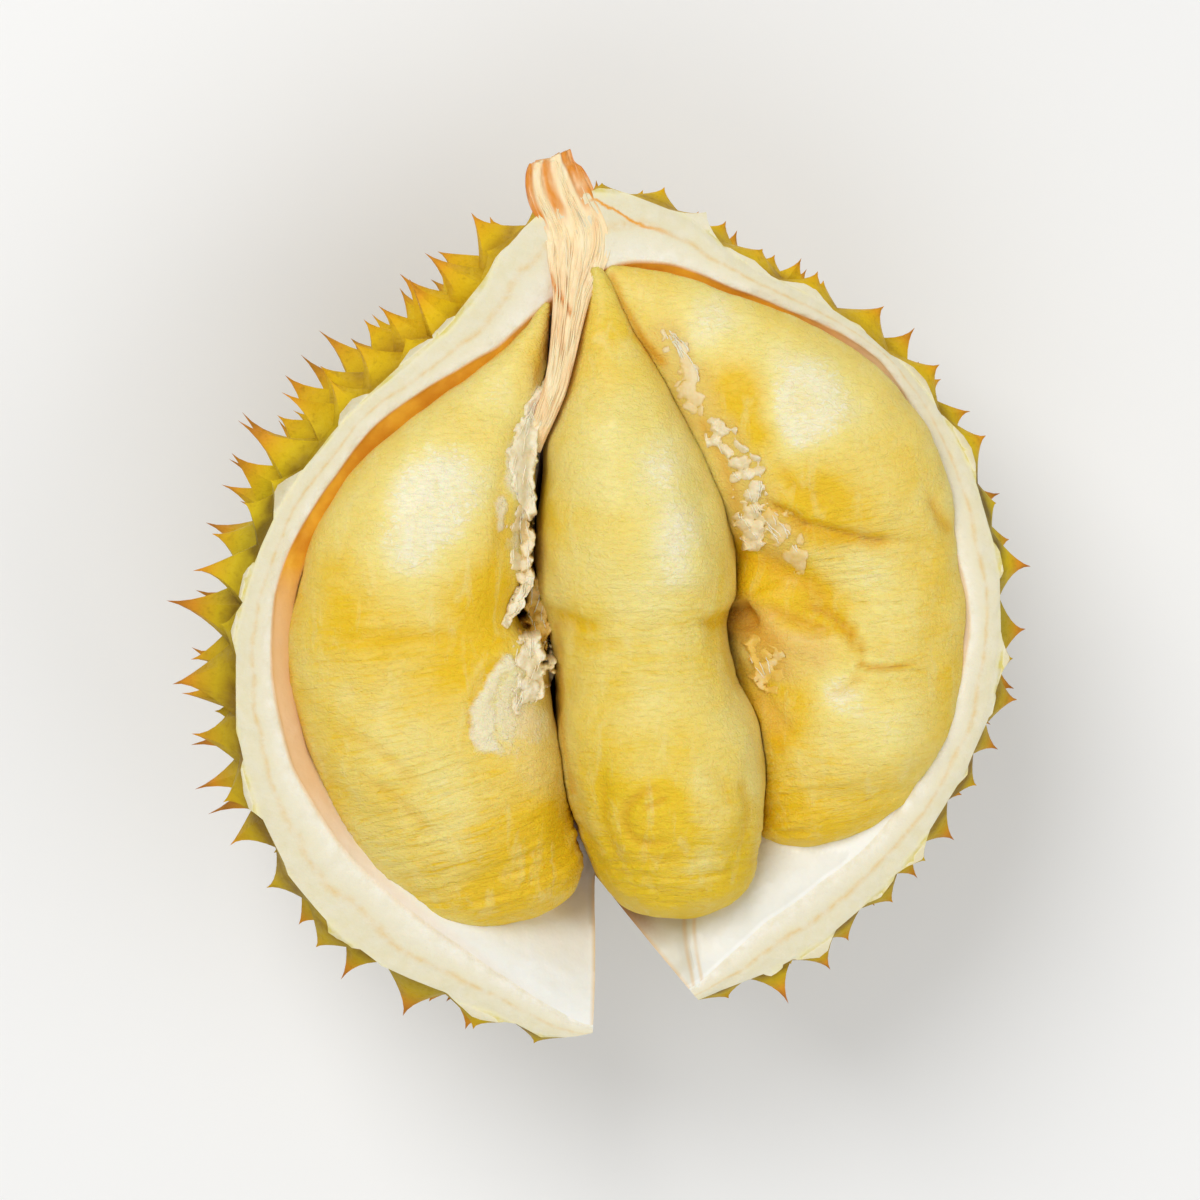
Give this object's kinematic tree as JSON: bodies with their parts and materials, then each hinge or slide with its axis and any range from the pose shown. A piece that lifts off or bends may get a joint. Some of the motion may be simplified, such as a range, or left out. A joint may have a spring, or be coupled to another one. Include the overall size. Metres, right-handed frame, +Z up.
{
  "type": "opened durian half",
  "caption": "Half of a durian split open lengthwise, flesh and fibrous core in their chambers, lying on its thorny back.",
  "frame": {"origin": "on the surface the half rests on, under the middle of its outline", "axes": "+X across the half, +Y along the fruit towards the stem, +Z up out of the split face"},
  "size_m": [0.2173, 0.2199, 0.1123],
  "materials": {
    "rind": "matt thorny skin, white pith where split",
    "stem": "cut fibres",
    "pulp": "soft satin flesh",
    "placenta": "dry fibres"
  },
  "bodies": {
    "root": {"husk": "rind", "stem": "stem", "pulp_left": "pulp", "pulp_middle": "pulp", "pulp_right": "pulp", "placenta_left": "placenta", "placenta_right_upper": "placenta", "placenta_right_lower": "placenta"}
  },
  "joints": []
}
